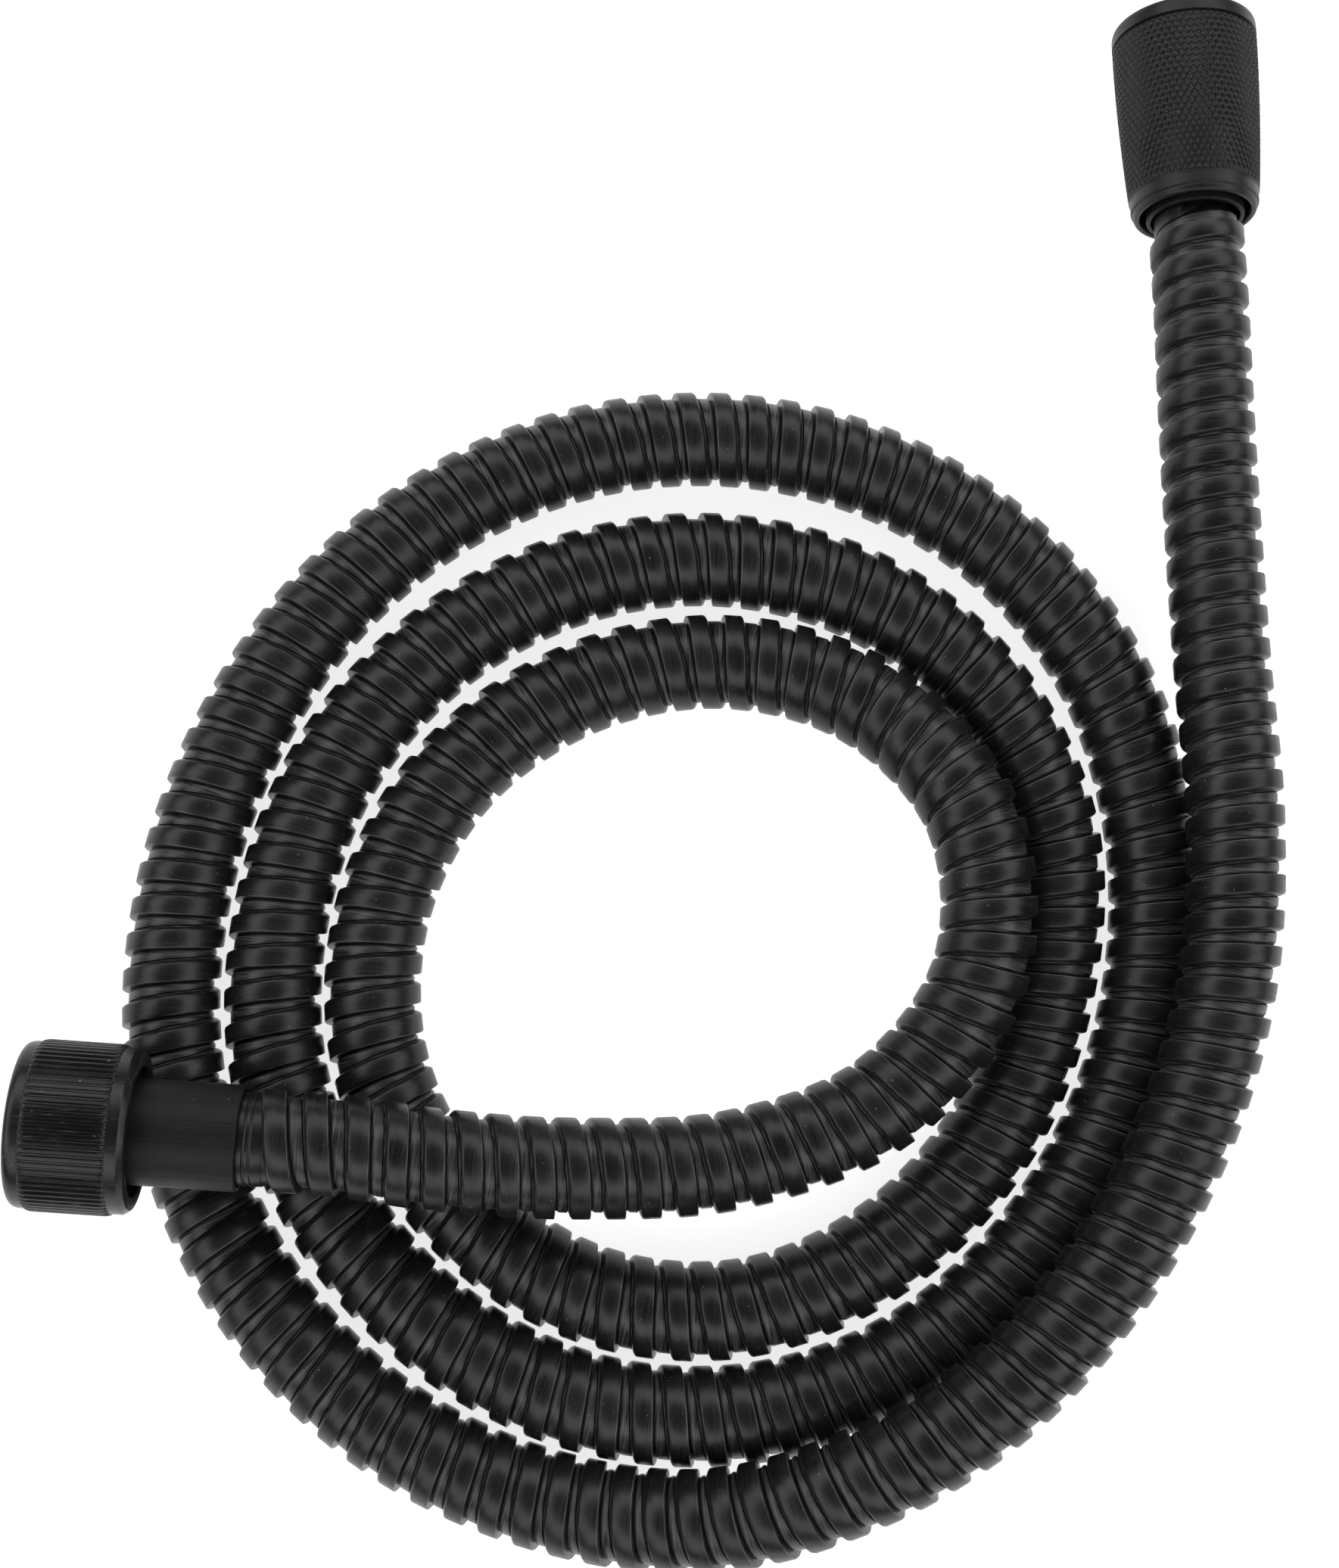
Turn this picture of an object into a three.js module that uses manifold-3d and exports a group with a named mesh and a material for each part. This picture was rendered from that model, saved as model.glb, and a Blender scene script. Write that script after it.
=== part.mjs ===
// Strip-wound shower hose, coiled flat, with a ribbed tap nut at one end and a
// knurled cone nut at the other. Millimetres, +Z up, floor at z = 0.
// Each end fitting is built along its own +Z, which points out of the hose.
import * as THREE from 'three';
import { mergeVertices } from 'three/addons/utils/BufferGeometryUtils.js';
import Module from 'manifold-3d';

// ---- hose ----------------------------------------------------------------
const HOSE_R = 7.25; // crests of the wound strip
const NECK_R = 6.45; // last winding, drawn down to enter the ferrule
const STRIP_BORE_R = 5.5;
const LINER_R = 5.1;
const LINER_BORE_R = 4.0;
const LINER_END_R = 4.85; // the liner where the ferrule squeezes it
const LINER_END_BORE_R = 4.05;
const HOSE_SIDES = 12;
const LINER_SIDES = 8;
const HOSE_STEPS = 84;

// ---- parts that both ends share ------------------------------------------
const GAP = 0.3; // between pieces that touch
const FERRULE_R = 7.5;
const FERRULE_NECK_BORE_R = 6.8;
const FERRULE_LINER_BORE_R = 5.2;
const NECK_GRIP = 5; // how far the neck runs into the ferrule
const TAIL_BORE_R = 2.6;
const TAIL_ROOT_R = 3.2;
const TAIL_BARB_R = 3.7;
const TAIL_STEM = 15;
const FLANGE_R = 9.0;
const FLANGE_T = 1.6;
const SLIP_RING_R = 9.0;
const SLIP_RING_BORE_R = 7.8;
const SLIP_RING_T = 0.8;
const SEAL_R = 9.0;
const SEAL_BORE_R = 5.0;
const SEAL_T = 2.0;
const THREAD_R = 9.3; // crests of the G 1/2 female thread
const THREAD_MOUTH_R = 10.3;

// ---- ribbed tap nut --------------------------------------------------------
const TAP_NECK = 2.55; // neck seen between the crests and the ferrule
const TAP_FERRULE_SEEN = 14.9;
const TAP_NUT_L = 16.0;
const TAP_LIP_T = 2.4;
const TAP_LIP_BORE_R = 7.8;
const TAP_COUNTERBORE_R = 9.2;
const TAP_COUNTERBORE_T = 0.8;
const TAP_COLLAR_R = 11.65;
const TAP_RIB_R = 12.0;
const TAP_RIBS = 72;
const TAP_RIB_START = 2.0;
const TAP_RIB_END = 13.8;

// ---- knurled cone nut -------------------------------------------------------
const CONE_NECK = 1.5;
const CONE_FERRULE_PROUD = 0.5; // the ferrule stands this far out of the nut
const CONE_NUT_L = 31.6;
const CONE_MOUTH_R = 8.35;
const CONE_SHOULDER_Z = 16.5;
const CONE_COLLAR_R = 9.8;
const CONE_SMALL_R = 10.05;
const CONE_BIG_R = 11.2;
const CONE_KNURL_START = 3.4;
const CONE_KNURL_END = 29.2;

// ---- route of the hose's centre line, from the tap end to the cone end -----
const FRAME_SHIFT = new THREE.Vector3(-0.07, -2.71, 0);
const ROUTE = [
  [-58.2, -53.2, 25.6], [-47, -54, 25.2], [-33, -56.1, 23.6], [-13.6, -57.4, 20.4],
  [10.1, -56.1, 17.4], [31.9, -47.4, 16.4], [45.7, -28.8, 16.7], [45, -5.6, 15.7],
  [30.4, 12.1, 10.9], [8.6, 18.8, 8.2], [-14.4, 14.4, 7.4], [-33.4, 0.4, 7.27],
  [-43.6, -20.5, 7.25], [-43, -43.6, 7.25], [-31.1, -63.7, 7.25], [-12, -76.2, 7.25],
  [11.3, -78.3, 7.25], [32.7, -69.2, 7.25], [48.9, -52, 7.25], [57.5, -30, 7.25],
  [58.4, -6.7, 7.25], [48.6, 14.7, 7.25], [30.5, 29.3, 7.25], [7.6, 35, 7.25],
  [-15.6, 31.6, 7.25], [-36.1, 20.1, 7.25], [-51.2, 2, 7.25], [-58.6, -20, 7.25],
  [-58.5, -43.4, 7.25], [-49.4, -65, 7.25], [-33, -82, 7.25], [-11.9, -92, 7.25],
  [11.5, -93.6, 7.25], [34.1, -86.6, 7.25], [52.8, -72, 7.25], [66.1, -52.2, 7.25],
  [73.2, -29.6, 7.25], [73.7, -6.2, 7.25], [67.3, 16.5, 7.25], [53.4, 35.4, 7.25],
  [33.7, 48.4, 7.25], [10.8, 54, 7.25], [-12.6, 52.1, 7.25], [-34.2, 43, 7.25],
  [-52.2, 27.8, 7.25], [-65.1, 8.3, 7.25], [-72.9, -14.3, 7.25], [-74.5, -37.9, 7.25],
  [-69.2, -60.8, 7.25], [-57.2, -80.9, 7.26], [-39.4, -96.5, 7.4], [-17.8, -105.72, 8.4],
  [5.5, -107.8, 12.9], [27.4, -101.3, 17.3], [46.7, -89.5, 19.3], [62.4, -72.8, 19.9],
  [74.35, -52.35, 19.9], [81.45, -30.05, 19.6], [83.65, -6.6, 18.5], [82.95, 17, 16.8],
  [82.3, 40.4, 16.1], [81.95, 59.7, 15.8], [81.85, 73, 15.5], [81.7, 86.4, 14.5],
];

const wasm = await Module();
wasm.setup();

function paint(color, roughness, metalness) {
  return new THREE.MeshStandardMaterial({ color, roughness, metalness });
}

// A ring turned about +Z from a closed profile of [radius, z] corners, listed
// counter-clockwise with radius to the right.
function turned(profile, segments = 32) {
  const points = [...profile, profile[0]].map(([r, z]) => new THREE.Vector2(r, z));
  return new THREE.LatheGeometry(points, segments).rotateX(Math.PI / 2);
}

// Welds corners that lie on the same point, which leaves a closed mesh.
function toSolid(geometry) {
  const bare = geometry.clone();
  bare.deleteAttribute('normal');
  bare.deleteAttribute('uv');
  const welded = mergeVertices(bare, 1e-4);
  return new wasm.Manifold(new wasm.Mesh({
    numProp: 3,
    vertProperties: new Float32Array(welded.attributes.position.array),
    triVerts: new Uint32Array(welded.index.array),
  }));
}

function fromSolid(solid) {
  const mesh = solid.getMesh();
  const geometry = new THREE.BufferGeometry();
  const corners = new THREE.BufferAttribute(mesh.vertProperties, 3);
  geometry.setAttribute('position', corners);
  geometry.setIndex(new THREE.BufferAttribute(mesh.triVerts, 1));
  const flat = geometry.toNonIndexed();
  flat.computeVertexNormals();
  return flat;
}

function piece(name, geometry, material) {
  const mesh = new THREE.Mesh(geometry, material);
  mesh.name = name;
  return mesh;
}

// ---- hose --------------------------------------------------------------------
function routeCurve() {
  const points = ROUTE.map(([x, y, z]) => new THREE.Vector3(x, y, z).add(FRAME_SHIFT));
  const curve = new THREE.CatmullRomCurve3(points, false, 'centripetal');
  curve.arcLengthDivisions = 4000;
  return curve;
}

function sweptRing(curve, radius, bore, sides) {
  const ring = (r, Path) => {
    const path = new Path();
    for (let i = 0; i < sides; i += 1) {
      const a = ((i + 0.5) / sides) * Math.PI * 2;
      if (i === 0) path.moveTo(r * Math.cos(a), r * Math.sin(a));
      else path.lineTo(r * Math.cos(a), r * Math.sin(a));
    }
    path.closePath();
    return path;
  };
  const shape = ring(radius, THREE.Shape);
  shape.holes.push(ring(bore, THREE.Path));
  return new THREE.ExtrudeGeometry(shape, { steps: HOSE_STEPS, extrudePath: curve });
}

function endFrame(point, outward) {
  const frame = new THREE.Group();
  frame.position.copy(point);
  frame.quaternion.setFromUnitVectors(new THREE.Vector3(0, 0, 1), outward);
  frame.updateMatrix();
  return frame;
}

// A plain sleeve that carries a swept tube straight on into an end fitting.
function endSleeve(frame, radius, bore, length) {
  const overlap = 0.5;
  const profile = [[bore, -overlap], [radius, -overlap], [radius, length], [bore, length]];
  return toSolid(turned(profile, 24).applyMatrix4(frame.matrix));
}

function tubeWithEnds(curve, tube, frames, ends) {
  let solid = toSolid(sweptRing(curve, tube.radius, tube.bore, tube.sides));
  frames.forEach((frame, i) => {
    solid = solid.add(endSleeve(frame, ends.radius, ends.bore, ends.lengths[i]));
  });
  return fromSolid(solid);
}

// ---- pieces of an end fitting, each from where the crests of the hose stop ----
function ferrule(mouth, end) {
  const gripEnd = mouth + NECK_GRIP + GAP;
  const edge = 0.3;
  return turned([
    [FERRULE_NECK_BORE_R, mouth], [FERRULE_R - edge, mouth], [FERRULE_R, mouth + edge],
    [FERRULE_R, end - edge], [FERRULE_R - edge, end], [FERRULE_LINER_BORE_R, end],
    [FERRULE_LINER_BORE_R, gripEnd], [FERRULE_NECK_BORE_R, gripEnd],
  ], 40);
}

function hoseTail(flangeBack) {
  const tip = flangeBack - TAIL_STEM;
  const front = flangeBack + FLANGE_T;
  const profile = [[TAIL_BORE_R, tip], [TAIL_ROOT_R, tip]];
  for (let i = 0; i < 4; i += 1) {
    const z = tip + 0.6 + i * 3.2;
    profile.push([TAIL_ROOT_R, z], [TAIL_BARB_R, z + 2.4], [TAIL_ROOT_R, z + 2.4]);
  }
  profile.push([TAIL_ROOT_R, flangeBack], [FLANGE_R, flangeBack]);
  profile.push([FLANGE_R, front], [TAIL_BORE_R, front]);
  return turned(profile);
}

function flatRing(radius, bore, start, thickness) {
  const end = start + thickness;
  return turned([[bore, start], [radius, start], [radius, end], [bore, end]]);
}

// Where each piece of a fitting starts, worked out from the nut's inner shoulder.
function stackFrom(shoulder) {
  const slipRing = shoulder + GAP;
  const flange = slipRing + SLIP_RING_T + GAP;
  const seal = flange + FLANGE_T + GAP;
  return { slipRing, flange, seal };
}

// ---- ribbed tap nut ----------------------------------------------------------
function ribOutline() {
  const outline = [];
  const pitch = (Math.PI * 2) / TAP_RIBS;
  const corner = (r, a) => outline.push([r * Math.cos(a), r * Math.sin(a)]);
  for (let i = 0; i < TAP_RIBS; i += 1) {
    const a = i * pitch;
    corner(TAP_COLLAR_R, a - 0.32 * pitch);
    corner(TAP_RIB_R, a - 0.18 * pitch);
    corner(TAP_RIB_R, a + 0.18 * pitch);
    corner(TAP_COLLAR_R, a + 0.32 * pitch);
  }
  return outline;
}

function ribBand(start) {
  const shape = new THREE.Shape(ribOutline().map(([x, y]) => new THREE.Vector2(x, y)));
  const depth = TAP_RIB_END - TAP_RIB_START;
  const band = new THREE.ExtrudeGeometry(shape, { depth, bevelEnabled: false });
  band.translate(0, 0, start + TAP_RIB_START);
  const z0 = start + TAP_RIB_START;
  const z1 = start + TAP_RIB_END;
  const bevel = 0.5;
  const inner = 10.9;
  const envelope = turned([
    [inner, z0], [TAP_COLLAR_R - 0.1, z0], [TAP_RIB_R + 0.1, z0 + bevel],
    [TAP_RIB_R + 0.1, z1 - bevel], [TAP_COLLAR_R - 0.1, z1], [inner, z1],
  ]);
  return toSolid(band).intersect(toSolid(envelope));
}

function tapNut(start) {
  const end = start + TAP_NUT_L;
  const shoulder = start + TAP_LIP_T;
  const round = 0.8;
  const core = turned([
    [TAP_LIP_BORE_R, start + TAP_COUNTERBORE_T],
    [TAP_COUNTERBORE_R, start + TAP_COUNTERBORE_T], [TAP_COUNTERBORE_R, start],
    [TAP_COLLAR_R - 0.6, start], [TAP_COLLAR_R, start + 0.6],
    [TAP_COLLAR_R, end - 1.6], [TAP_COLLAR_R - 0.3, end - 0.6], [TAP_COLLAR_R - round, end],
    [THREAD_MOUTH_R, end], [THREAD_R, end - 1.2], [THREAD_R, shoulder],
    [TAP_LIP_BORE_R, shoulder],
  ], 48);
  return fromSolid(toSolid(core).add(ribBand(start)));
}

// ---- knurled cone nut ---------------------------------------------------------
// A corner of the bulging knurled barrel, at that share of the way to its big end.
function barrelCorner(start, share) {
  const along = CONE_KNURL_START + share * (CONE_KNURL_END - CONE_KNURL_START);
  return [CONE_BIG_R - (CONE_BIG_R - CONE_SMALL_R) * (1 - share) ** 1.8, start + along];
}

function coneNut(start) {
  const z = (along) => start + along;
  return turned([
    [CONE_MOUTH_R, z(0.9)], [CONE_MOUTH_R + 0.5, z(0.2)], [CONE_MOUTH_R + 0.9, z(0)],
    [CONE_COLLAR_R - 0.4, z(0.3)], [CONE_COLLAR_R, z(1.2)],
    [CONE_COLLAR_R, z(CONE_KNURL_START - 0.2)],
    ...[0, 1 / 3, 2 / 3, 1].map((share) => barrelCorner(start, share)),
    [CONE_BIG_R, z(CONE_NUT_L - 1.0)],
    [CONE_BIG_R - 0.15, z(CONE_NUT_L - 0.35)], [CONE_BIG_R - 0.4, z(CONE_NUT_L)],
    [THREAD_MOUTH_R, z(CONE_NUT_L)], [THREAD_R, z(CONE_NUT_L - 1.2)],
    [THREAD_R, z(CONE_SHOULDER_Z)], [CONE_MOUTH_R, z(CONE_SHOULDER_Z)],
  ], 64);
}

// ---- assembly -------------------------------------------------------------------
const curve = routeCurve();
const tapEnd = endFrame(curve.getPoint(0), curve.getTangent(0).negate());
const coneEnd = endFrame(curve.getPoint(1), curve.getTangent(1));

const tapNutStart = TAP_NECK + TAP_FERRULE_SEEN;
const tapStack = stackFrom(tapNutStart + TAP_LIP_T);
const coneNutStart = CONE_NECK + CONE_FERRULE_PROUD;
const coneStack = stackFrom(coneNutStart + CONE_SHOULDER_Z);

const blackMetal = () => paint(0x1b1b1c, 0.4, 0.6);
const blackPlastic = () => paint(0x161617, 0.35, 0);
const brass = () => paint(0xb59a55, 0.35, 1);
const rubber = () => paint(0x141414, 0.8, 0);
const whitePlastic = () => paint(0xe4e2da, 0.5, 0);

const frames = [tapEnd, coneEnd];
const armour = tubeWithEnds(
  curve, { radius: HOSE_R, bore: STRIP_BORE_R, sides: HOSE_SIDES }, frames,
  {
    radius: NECK_R,
    bore: STRIP_BORE_R + 0.1,
    lengths: [TAP_NECK + NECK_GRIP, CONE_NECK + NECK_GRIP],
  },
);
const liner = tubeWithEnds(
  curve, { radius: LINER_R, bore: LINER_BORE_R, sides: LINER_SIDES }, frames,
  {
    radius: LINER_END_R,
    bore: LINER_END_BORE_R,
    lengths: [tapStack.flange - 2 * GAP, coneStack.flange - 2 * GAP],
  },
);

function addEnd(frame, prefix, neck, stack, nut, nutMaterial) {
  const ferruleEnd = stack.flange - GAP;
  frame.add(
    piece(`${prefix}_ferrule`, ferrule(neck, ferruleEnd), blackMetal()),
    piece(`${prefix}_hose_tail`, hoseTail(stack.flange), brass()),
    piece(
      `${prefix}_slip_ring`,
      flatRing(SLIP_RING_R, SLIP_RING_BORE_R, stack.slipRing, SLIP_RING_T),
      whitePlastic(),
    ),
    piece(`${prefix}_seal`, flatRing(SEAL_R, SEAL_BORE_R, stack.seal, SEAL_T), rubber()),
    piece(`${prefix}_nut`, nut, nutMaterial),
  );
  return frame;
}

const part = new THREE.Group();
part.add(
  piece('hose_armour', armour, blackMetal()),
  piece('hose_liner', liner, rubber()),
  addEnd(tapEnd, 'tap', TAP_NECK, tapStack, tapNut(tapNutStart), blackPlastic()),
  addEnd(coneEnd, 'cone', CONE_NECK, coneStack, coneNut(coneNutStart), blackMetal()),
);

export default part;
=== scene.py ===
"""The looks of the coiled shower hose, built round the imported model's frame.

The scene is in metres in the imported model's frame: +Z up, floor at z = 0. The hose
runs from the ribbed tap nut (left) to the knurled cone nut (top right). Pieces of an
end fitting are turned about a local +Z that points out of the hose. Their sections
are listed in millimetres from where the hose's crests stop, and a nut's from its own
hose-side end.
"""
import math

import bmesh
import bpy
import numpy as np
from mathutils import Matrix, Vector


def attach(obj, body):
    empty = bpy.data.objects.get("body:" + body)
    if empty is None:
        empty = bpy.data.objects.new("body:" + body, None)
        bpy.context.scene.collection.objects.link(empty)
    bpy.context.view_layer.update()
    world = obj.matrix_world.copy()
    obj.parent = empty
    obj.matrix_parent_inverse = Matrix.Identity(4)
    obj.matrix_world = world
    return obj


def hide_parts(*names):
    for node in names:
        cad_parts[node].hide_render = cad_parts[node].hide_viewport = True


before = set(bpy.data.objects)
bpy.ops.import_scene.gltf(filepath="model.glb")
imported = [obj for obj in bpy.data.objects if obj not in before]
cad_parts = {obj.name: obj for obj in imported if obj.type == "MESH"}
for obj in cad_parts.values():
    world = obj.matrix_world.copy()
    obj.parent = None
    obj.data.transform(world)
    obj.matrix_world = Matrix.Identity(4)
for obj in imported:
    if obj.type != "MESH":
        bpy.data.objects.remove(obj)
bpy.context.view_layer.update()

MM = 0.001

# ---- hose, in millimetres ----------------------------------------------------------
CREST_R = 7.25
NECK_R = 6.36  # the strip's ends, drawn down to enter the ferrules
BORE_R = 5.5
GRIP = 5.0  # how far the strip runs into a ferrule
TAP_NECK = 2.55  # from the last crest to the tap ferrule's mouth
CONE_NECK = 1.5  # the same at the cone end
BORE_INSET = 2.5  # the bore's wall stops this far inside the strip's ends
LINE_TAIL = 12  # straight line added to both ends of the route, inside the fittings
PATH_STEP = 2.0  # between the points that describe the hose as a cord

# ---- wound strip, in millimetres ---------------------------------------------------
PITCH = 5.03  # mean distance from crest to crest
CREST_W = 3.1
END_STRETCH = 0.24  # the first turns after the tap ferrule are pulled apart by this
END_FADE = 9.0  # distance over which that stretch dies away
CREST_GROWTH = 0.7  # share of the stretch that widens a crest
FIRST_CREST = 2.85  # from where the crests start, on the upper side
STEPS = 26  # mesh steps per turn
MIN_VALLEY = 0.25  # groove left between crests on the inside of a bend
FREE_VALLEY = 1.2  # a valley narrower than this squeezes the corners in it
MIN_SQUEEZE = 0.1
RISE_START = 0.58  # turns before the first crest at which the strip starts to rise
RISE_TURNS = 0.16  # turns that the strip takes to rise from the neck to a full crest
DROP_TURNS = 0.1  # the same for its drop at the cone end
LAST_CREST_GAP = 0.1  # from the last crest's end to the cone ferrule's mouth
BEND_SPAN = 16  # length over which the line's bend is evened out

# One pitch of the strip's section: which crest edge a corner is measured from, how
# far past it along the hose, the radius, and how much painted highlight the corner gets:
# a bright line painted along the crest edges where they catch the light. A crest rises in
# a slope, runs flat, and drops steeply into the groove before the next one.
SECTION = (
    ("start", -0.16, 6.30, 1.0),
    ("start", 0.02, 6.72, 0.1),
    ("start", 0.24, 7.10, 0.1),
    ("start", 0.50, 7.25, 0.0),
    ("end", -0.22, 7.25, 0.1),
    ("end", -0.08, 7.20, 1.0),
    ("end", 0.0, 7.0, 0.3),
    ("end", 0.06, 6.0, 0.0),
    ("end", 0.24, 6.05, 0.1),
    ("end", 0.56, 6.26, 0.9),
    ("next", -0.38, 6.30, 0.1),
    ("next", -0.26, 6.05, 0.0),
)

# ---- end fittings, in millimetres --------------------------------------------------
GAP = 0.3  # between pieces that touch
FERRULE_R = 7.5
FERRULE_NECK_BORE_R = 6.8
FERRULE_LINER_BORE_R = 5.2
TAIL_BORE_R = 2.6
TAIL_ROOT_R = 3.2
TAIL_BARB_R = 3.7
TAIL_STEM = 15
BARBS = 4
BARB_PITCH = 3.2
BARB_L = 2.4
FLANGE_R = 9.0
FLANGE_T = 1.6
SLIP_RING_T = 0.8
SEAL_R = 9.0
SEAL_BORE_R = 5.0
SEAL_T = 2.0
THREAD_PITCH = 1.814  # G 1/2
THREAD_MINOR_R = 9.3
THREAD_MOUTH_R = 10.3
THREAD_DEPTH = 1.1

# ---- ribbed tap nut, in millimetres ------------------------------------------------
TAP_FERRULE_SEEN = 14.9
TAP_NUT_L = 16.0
TAP_LIP_T = 2.4
TAP_LIP_BORE_R = 7.8
TAP_RIM = -0.5  # the hose-side rim, from the nut's start
TAP_COUNTERBORE_R = 9.2
TAP_COUNTERBORE_T = 0.8
TAP_THREAD_SEAT = 6.6  # where the thread ends, from the nut's start
RIBS = 72
RIB_ROOT_R = 11.65
RIB_H = 0.35
RIB_START = 2.0
RIB_END = 13.8

# ---- knurled cone nut, in millimetres ----------------------------------------------
CONE_FERRULE_PROUD = 0.5  # the ferrule stands this far out of the nut
CONE_NUT_L = 31.6
CONE_MOUTH_R = 8.35
CONE_SHOULDER = 16.5
CONE_THREAD_SEAT = 21.0
CONE_COLLAR_R = 9.8
CONE_SMALL_R = 10.05
CONE_BIG_R = 11.2
CONE_BULGE = 1.8  # power of the barrel's curve between those two radii
KNURL_STARTS = 60
KNURL_LEAD = 1.94  # along the nut for one groove's width of turn
KNURL_START = 3.4
KNURL_END = 29.2
KNURL_DEPTH = 0.32
KNURL_TOP = 0.62  # share of a groove's height at which the diamonds are cut flat

# ---- route of the hose's centre line, in metres, the same points as the CAD's ------
FRAME_SHIFT = (-0.00007, -0.00271, 0)
ROUTE = (
    (-0.0582, -0.0532, 0.0256), (-0.047, -0.054, 0.0252), (-0.033, -0.0561, 0.0236),
    (-0.0136, -0.0574, 0.0204), (0.0101, -0.0561, 0.0174), (0.0319, -0.0474, 0.0164),
    (0.0457, -0.0288, 0.0167), (0.045, -0.0056, 0.0157), (0.0304, 0.0121, 0.0109),
    (0.0086, 0.0188, 0.0082), (-0.0144, 0.0144, 0.0074), (-0.0334, 0.0004, 0.00727),
    (-0.0436, -0.0205, 0.00725), (-0.043, -0.0436, 0.00725), (-0.0311, -0.0637, 0.00725),
    (-0.012, -0.0762, 0.00725), (0.0113, -0.0783, 0.00725), (0.0327, -0.0692, 0.00725),
    (0.0489, -0.052, 0.00725), (0.0575, -0.03, 0.00725), (0.0584, -0.0067, 0.00725),
    (0.0486, 0.0147, 0.00725), (0.0305, 0.0293, 0.00725), (0.0076, 0.035, 0.00725),
    (-0.0156, 0.0316, 0.00725), (-0.0361, 0.0201, 0.00725), (-0.0512, 0.002, 0.00725),
    (-0.0586, -0.02, 0.00725), (-0.0585, -0.0434, 0.00725), (-0.0494, -0.065, 0.00725),
    (-0.033, -0.082, 0.00725), (-0.0119, -0.092, 0.00725), (0.0115, -0.0936, 0.00725),
    (0.0341, -0.0866, 0.00725), (0.0528, -0.072, 0.00725), (0.0661, -0.0522, 0.00725),
    (0.0732, -0.0296, 0.00725), (0.0737, -0.0062, 0.00725), (0.0673, 0.0165, 0.00725),
    (0.0534, 0.0354, 0.00725), (0.0337, 0.0484, 0.00725), (0.0108, 0.054, 0.00725),
    (-0.0126, 0.0521, 0.00725), (-0.0342, 0.043, 0.00725), (-0.0522, 0.0278, 0.00725),
    (-0.0651, 0.0083, 0.00725), (-0.0729, -0.0143, 0.00725), (-0.0745, -0.0379, 0.00725),
    (-0.0692, -0.0608, 0.00725), (-0.0572, -0.0809, 0.00726), (-0.0394, -0.0965, 0.0074),
    (-0.0178, -0.10572, 0.0084), (0.0055, -0.1078, 0.0129), (0.0274, -0.1013, 0.0173),
    (0.0467, -0.0895, 0.0193), (0.0624, -0.0728, 0.0199), (0.07435, -0.05235, 0.0199),
    (0.08145, -0.03005, 0.0196), (0.08365, -0.0066, 0.0185), (0.08295, 0.017, 0.0168),
    (0.0823, 0.0404, 0.0161), (0.08195, 0.0597, 0.0158), (0.08185, 0.073, 0.0155),
    (0.0817, 0.0864, 0.0145),
)

# ---- camera ------------------------------------------------------------------------
CAMERA_AIM = Vector((0, 0, 0.00725)) + Vector(FRAME_SHIFT)  # metres
CAMERA_DISTANCE = 0.344  # metres
CAMERA_LEAN_Y = math.radians(7.5)  # how far the view leans from straight down
CAMERA_LEAN_X = math.radians(1.5)
LENS_MM = 51.69  # on a 36 mm sensor along the picture's long side

# ---- floor and light, in metres ----------------------------------------------------
FLOOR_HALF = 3.0
FLOOR_GLOW = 0.8
WORLD_STRENGTH = 0.12
SOFTBOX_COUNT = 8  # evenly round the coil
SOFTBOX_POWER = 3.1
SOFTBOX_DISTANCE = 1.1
SOFTBOX_SIZE = 0.7
SOFTBOX_RISE = math.radians(38)  # above the floor


def add_camera():
    forward = Vector((
        math.sin(CAMERA_LEAN_X),
        math.sin(CAMERA_LEAN_Y) * math.cos(CAMERA_LEAN_X),
        -math.cos(CAMERA_LEAN_Y) * math.cos(CAMERA_LEAN_X),
    )).normalized()
    right = forward.cross(Vector((0, 1, 0))).normalized()
    up = right.cross(forward)
    turn = Matrix((right, up, -forward)).transposed()
    data = bpy.data.cameras.new("camera")
    data.lens = LENS_MM
    data.sensor_width = 36
    data.clip_start = 0.01
    data.clip_end = 10
    camera = bpy.data.objects.new("camera", data)
    place = Matrix.Translation(CAMERA_AIM - forward * CAMERA_DISTANCE)
    camera.matrix_world = place @ turn.to_4x4()
    bpy.context.scene.collection.objects.link(camera)
    bpy.context.scene.camera = camera


# ---- meshes ------------------------------------------------------------------------
def smoothstep(x):
    x = np.clip(x, 0, 1)
    return x * x * (3 - 2 * x)


def around(columns):
    """The angle of each column of a turned piece."""
    return np.arange(columns) * 2 * math.pi / columns


def sawtooth(phase):
    """Rises from 0 to 1 and falls back once for each whole number of the phase."""
    return 1 - np.abs(2 * (phase % 1) - 1)


def finish_mesh(name, mesh, sharp_degrees=38):
    """Smooth shading with creases where faces turn by more than sharp_degrees."""
    mesh.validate()
    mesh.polygons.foreach_set("use_smooth", [True] * len(mesh.polygons))
    mesh.set_sharp_from_angle(angle=math.radians(sharp_degrees))
    mesh.update()
    piece = bpy.data.objects.new(name, mesh)
    bpy.context.scene.collection.objects.link(piece)
    return piece


def ring_faces(rows, columns):
    """Quads of a grid that closes on itself both ways, for rows x columns corners."""
    i, j = np.meshgrid(np.arange(rows), np.arange(columns), indexing="ij")
    down, right = (i + 1) % rows, (j + 1) % columns
    quads = np.stack([
        i * columns + j, i * columns + right, down * columns + right, down * columns + j,
    ], axis=-1)
    return quads.reshape(-1, 4)


def end_matrix(point, outward):
    turn = Vector((0, 0, 1)).rotation_difference(Vector(outward))
    return Matrix.Translation(Vector(point)) @ turn.to_matrix().to_4x4()


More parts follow.
